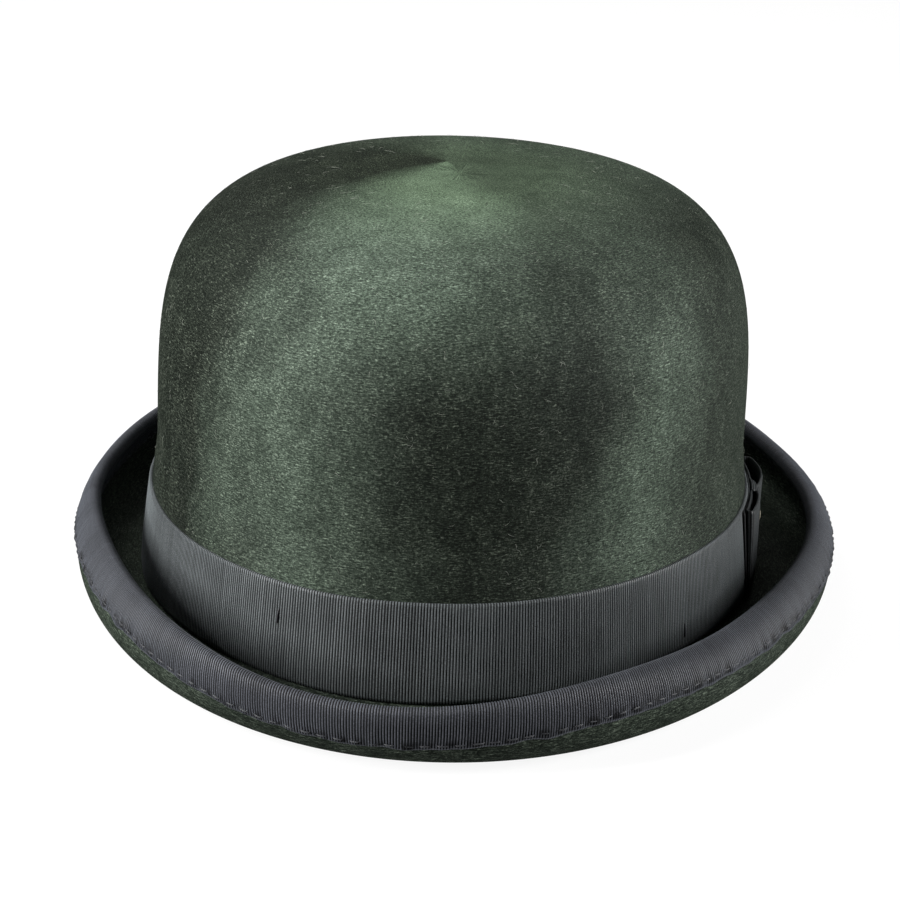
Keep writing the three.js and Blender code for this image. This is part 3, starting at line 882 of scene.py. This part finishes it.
def bow_stitch(offset, look):
    share = np.linspace(-1, 1, 7)
    path = bow_place(-3.4 + 0.3 * share, 20 + 1.7 * share, offset + 0.55 - 0.4 * np.abs(share) ** 3)
    stitch = tubes("bow_stitch", [path], [0.12, 0.19, 0.22, 0.22, 0.22, 0.19, 0.12], 8)
    stitch.data.materials.append(look)
    return stitch


# --- inside the hat -------------------------------------------------------------------------

INSIDE_COLUMNS = 360


def inside_angles():
    angle = np.arange(INSIDE_COLUMNS) * 2 * math.pi / INSIDE_COLUMNS
    return angle, np.linspace(0, 2 * math.pi * (BASE_HALF_WIDTH - 5), INSIDE_COLUMNS + 1)


def sweat_leather(look):
    angle, along = inside_angles()
    ease = 0.25 * waves(angle, 31, 6, 3, 16)
    full = LEATHER_TOP - LEATHER_FOOT
    pressed_line = 38.8
    heights = [0, 0.5, 1.2, *np.linspace(3, 36, 14), 38.2, pressed_line, 39.4, 40.6, 41.4, full]
    outer, inner = [], []
    for height in heights:
        share = height / full
        groove = 0.14 if height == pressed_line else 0.0
        round_off = 0.3 if height in (0, full) else 0.0
        lean = 0.9 * share**3
        depth = LEATHER_DEPTH + lean + ease * share
        face = depth + LEATHER - groove
        outer.append(on_crown(angle, LEATHER_FOOT + height, -(depth + round_off)))
        inner.append(on_crown(angle, LEATHER_FOOT + height, -(face - round_off)))
    rows = outer + inner[::-1]
    piece = ring("sweatband_skin", rows, along, down_lengths(rows))
    piece.data.materials.append(look)
    return piece


def zigzag_seam(look):
    """The stitches that join leather and tape, leaning one way and then the other."""
    curve = lambda a: on_crown(a, 8.0, -(LEATHER_DEPTH + LEATHER))
    angle, _ = even_angles(curve, 2.6, 1)
    angle = np.append(angle, 2 * math.pi)
    share = np.linspace(0, 1, 5)
    sink = 0.3 * np.abs(share * 2 - 1) ** 3
    paths = []
    for i, (start, end) in enumerate(zip(angle[:-1], angle[1:])):
        rise = share if i % 2 else 1 - share
        at = start + (end - start) * share
        paths.append(on_crown(at, 7.1 + 1.9 * rise, -(LEATHER_DEPTH + LEATHER + 0.12 - sink)))
    seam = tubes("sweatband_seam", paths, [0.1, 0.16, 0.18, 0.16, 0.1], 6)
    seam.data.materials.append(look)
    return seam


def reed_tape(look):
    angle, along = inside_angles()
    near, far = REED_RADIUS + 0.15, REED_RADIUS + 0.15 + TAPE
    hook_top = 5.6

    def hook(radius, degrees):
        turn = math.radians(degrees)
        height = REED_HEIGHT + radius * math.sin(turn)
        return on_crown(angle, height, -REED_DEPTH + radius * math.cos(turn))

    turns = np.linspace(0, -200, 14)
    heights = np.linspace(TAPE_TOP, REED_HEIGHT, 6)[:-1]
    rows = [on_crown(angle, h, -REED_DEPTH + far) for h in heights]
    rows += [hook(far, t) for t in turns]
    rows += [on_crown(angle, hook_top, -REED_DEPTH - radius + 0.1) for radius in (far, near)]
    rows += [hook(near, t) for t in turns[::-1]]
    rows += [on_crown(angle, h, -REED_DEPTH + near) for h in heights[::-1]]
    tape = ring("reed_tape_cloth", rows, along, down_lengths(rows))
    tape.data.materials.append(look)
    return tape


def back_bow(look):
    """The small bow over the sweatband's seam at the back."""
    back = math.pi / 2
    per_radian = wall_length_per_radian(back)
    skin = ON_SWEATBAND
    place = lambda along, height, depth: on_crown(back + along / per_radian, height, -depth)
    pieces = []
    for side, name in ((-1, "left"), (1, "right")):
        share = np.linspace(0, 1, 40)
        out = np.stack([0.6 + 11.4 * share, np.full(40, skin + 0.1)], -1)
        turn = np.linspace(-math.pi / 2, math.pi / 2, 16)
        end = np.stack([12.0 + 0.9 * np.cos(turn), skin + 0.1 + 0.65 * (1 + np.sin(turn))], -1)
        over = np.stack([0.6 + 11.4 * share[::-1], skin + 0.75 + 0.65 * share[::-1] ** 0.6], -1)
        path = np.concatenate([out[:-1], end, over[1:]]) * np.array([side, 1])
        pinch = lambda along: 1.4 * np.exp(-((along / 3.0) ** 2))
        pieces.append(ribbon(f"sweatband_bow_{name}_ribbon", path, 11, 18, place, look, pinch))
    turn = np.linspace(-0.98, 0.98, 40)
    path = np.stack([14.5 + 3.3 * turn, skin - 0.2 + 2.0 * (1 - np.abs(turn) ** 5) ** 0.6], -1)
    sideways = lambda height, along, depth: place(along, height, depth)
    pieces.append(ribbon("sweatband_bow_knot_ribbon", path, -1.8, 1.8, sideways, look))
    return pieces


def lining_offset(angle, height):
    """Soft upright gathers in the satin, none where it is sewn or tucked in."""
    above_band = np.clip((height - LEATHER_TOP) / 12, 0, 1)
    free = above_band * np.clip((LINING_SEAM - height) / 5, 0, 1) ** 0.5
    folds = np.abs(waves(angle, 41, 4, 26, 40)) * 0.5 + 0.3 * (1 + waves(angle, 42, 5, 50, 90))
    return FELT + 0.3 + free * 0.55 * folds


def lining_side(look):
    angle, along = inside_angles()
    heights = crown_heights(LINING_FOOT, LINING_SEAM - 0.3, 2.2)
    rows = [on_crown(angle, h, -lining_offset(angle, h)) for h in heights]
    rows += [on_crown(angle, h, -lining_offset(angle, h) - SATIN) for h in heights[::-1]]
    side = ring("lining_side_satin", rows, along, down_lengths(rows))
    side.data.materials.append(look)
    return side


def lining_tip(look):
    angle, along = inside_angles()
    heights = crown_heights(LINING_SEAM + 0.3, CROWN_HEIGHT - 0.002, 2.6)
    sag = lambda h: FELT + 0.3 + 0.9 * min(1.0, (h - LINING_SEAM) / 8)
    rows = [on_crown(angle, h, -sag(h)) for h in heights]
    under = [on_crown(angle, h, -sag(h) - SATIN) for h in heights]
    for row_set, drop in ((rows, sag(CROWN_HEIGHT)), (under, sag(CROWN_HEIGHT) + SATIN)):
        centre = np.array([0, 0, CROWN_HEIGHT - drop])
        last = row_set[-1].copy()
        row_set += [centre + (last - centre) * s * np.array([1, 1, 0]) for s in (0.66, 0.33, 0.02)]
    grid = under[::-1] + rows
    count = len(grid)
    points = np.stack(grid)
    faces, corner = grid_faces(count, INSIDE_COLUMNS, False, True)
    down = down_lengths(grid, closed=False)
    uvs = list(np.stack([along[corner[..., 1]], down[corner[..., 0]]], -1))
    faces = [list(f) for f in faces]
    for row, order in ((0, 1), (count - 1, -1)):
        cap = [row * INSIDE_COLUMNS + c for c in range(INSIDE_COLUMNS)][:: -order]
        faces.append(cap)
        uvs.append(np.array([(0.0, down[row])] * len(cap)))
    tip = build("lining_tip_satin", points.reshape(-1, 3), faces, uvs)
    tip.data.materials.append(look)
    return tip


def size_label(look):
    across = np.linspace(-8, 8, 24)
    angle = math.pi + across / wall_length_per_radian(math.pi)
    foot, top = 26, 36
    outline = [(foot, 0.0), (foot, 0.25), (29.3, 0.3), (32.6, 0.3), (top, 0.25), (top, 0.0),
               (31, -0.05)]
    rows = [on_crown(angle, height, -(ON_SWEATBAND + depth)) for height, depth in outline]
    points = np.stack(rows)
    faces, _ = grid_faces(len(rows), len(across), True, False)
    faces = [list(f) for f in faces]
    for column, order in ((0, 1), (len(across) - 1, -1)):
        faces.append([r * len(across) + column for r in range(len(rows))][::order])
    label = build("size_label_paper", points.reshape(-1, 3), faces, smooth=False)
    label.data.materials.append(look)
    return label


# --- everything together --------------------------------------------------------------------


def stand_for(piece, slot, *nodes):
    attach(piece, "root")
    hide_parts(*nodes)


make_camera()
make_stage()

felt = felt_look()
band_cloth = ribbon_look("band_grosgrain", BAND_RIB, (0.045, 0.051, 0.0525), (0.14, 0.155, 0.16))
# The bow is the band's grosgrain made roughly a third as light: painted shade over the bow.
shaded_bow_cloth = ribbon_look("bow_grosgrain_painted_shade", BAND_RIB, (0.015, 0.017, 0.0175), (0.055, 0.062, 0.064))
edge_cloth = ribbon_look(
    "binding_grosgrain", BINDING_RIB, (0.024, 0.026, 0.031), (0.082, 0.088, 0.103), dented=True)
dark_thread = thread_look("sewing_thread", (0.035, 0.037, 0.042))
edge_thread = thread_look("binding_thread", (0.022, 0.024, 0.029))
pale_thread = thread_look("seam_thread", (0.3, 0.27, 0.2))
satin = satin_look()

stand_for(felt_shell(felt), "felt", "felt_body")
fibres = felt_fibres(plain_look("loose_fibre", (0.12, 0.14, 0.11), (0.4, 0.42, 0.36), 0.5, 0.5))
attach(fibres, "root")
stand_for(hat_band(band_cloth), "band_ribbon", "hat_band")
stand_for(edge_binding(edge_cloth), "binding_ribbon", "edge_binding")
stand_for(stitch_row("binding_stitches_outer", -1, edge_thread), "thread", "binding_thread_outer")
stand_for(stitch_row("binding_stitches_inner", 1, edge_thread), "thread", "binding_thread_inner")

bow = side_bow(shaded_bow_cloth, pale_thread)
for piece, node in zip(bow, ("bow_backing", "bow_rear_loop", "bow_front_loop", "bow_knot")):
    stand_for(piece, "band_ribbon", node)
stand_for(bow[-1], "thread", "bow_tack")

TACKS = {  # angle and height of each
    "front_right": (-112.5, 20), "front_left": (-33.5, 9.5),
    "back_left": (62, 14), "back_right": (128, 14)}
for name, (degrees, height) in TACKS.items():
    tack = wall_tack(f"tack_{name}", degrees, height, RIBBON + RIB_HEIGHT, 4.5, dark_thread)
    stand_for(tack, "thread", f"band_tack_{name}")

stand_for(sweat_leather(leather_look()), "leather", "sweatband")
stand_for(zigzag_seam(pale_thread), "thread", "sweatband_thread")
reed = ring_tube("reed_rod", lambda a: on_crown(a, REED_HEIGHT, -REED_DEPTH), REED_RADIUS, 12)
reed_look = plain_look("reed_plastic", (0.3, 0.27, 0.2), (0.42, 0.38, 0.3), 0.45, 0.8)
reed.data.materials.append(reed_look)
stand_for(reed, "reed", "sweatband_reed")
tape_look = plain_look("coated_tape", (0.004, 0.004, 0.005), (0.016, 0.016, 0.018), 0.6, 2.5)
stand_for(reed_tape(tape_look), "reed_tape", "reed_tape")
for piece, side in zip(back_bow(band_cloth), ("left", "right", "knot")):
    stand_for(piece, "band_ribbon", f"sweatband_bow_{side}")

side_lining = lining_side(satin)
tip_lining = lining_tip(satin)
piping_depth = FELT + 0.3 + SATIN + 0.6
piping = ring_tube(
    "lining_piping_cord", lambda a: on_crown(a, LINING_SEAM, -piping_depth), 0.8, 10)
piping.data.materials.append(satin)
stand_for(side_lining, "satin", "lining_side")
stand_for(tip_lining, "satin", "lining_tip")
stand_for(piping, "satin", "lining_piping")
label_look = plain_look("label_paper", (0.55, 0.53, 0.46), (0.66, 0.64, 0.57), 0.6, 1.2)
stand_for(size_label(label_look), "label", "size_label")
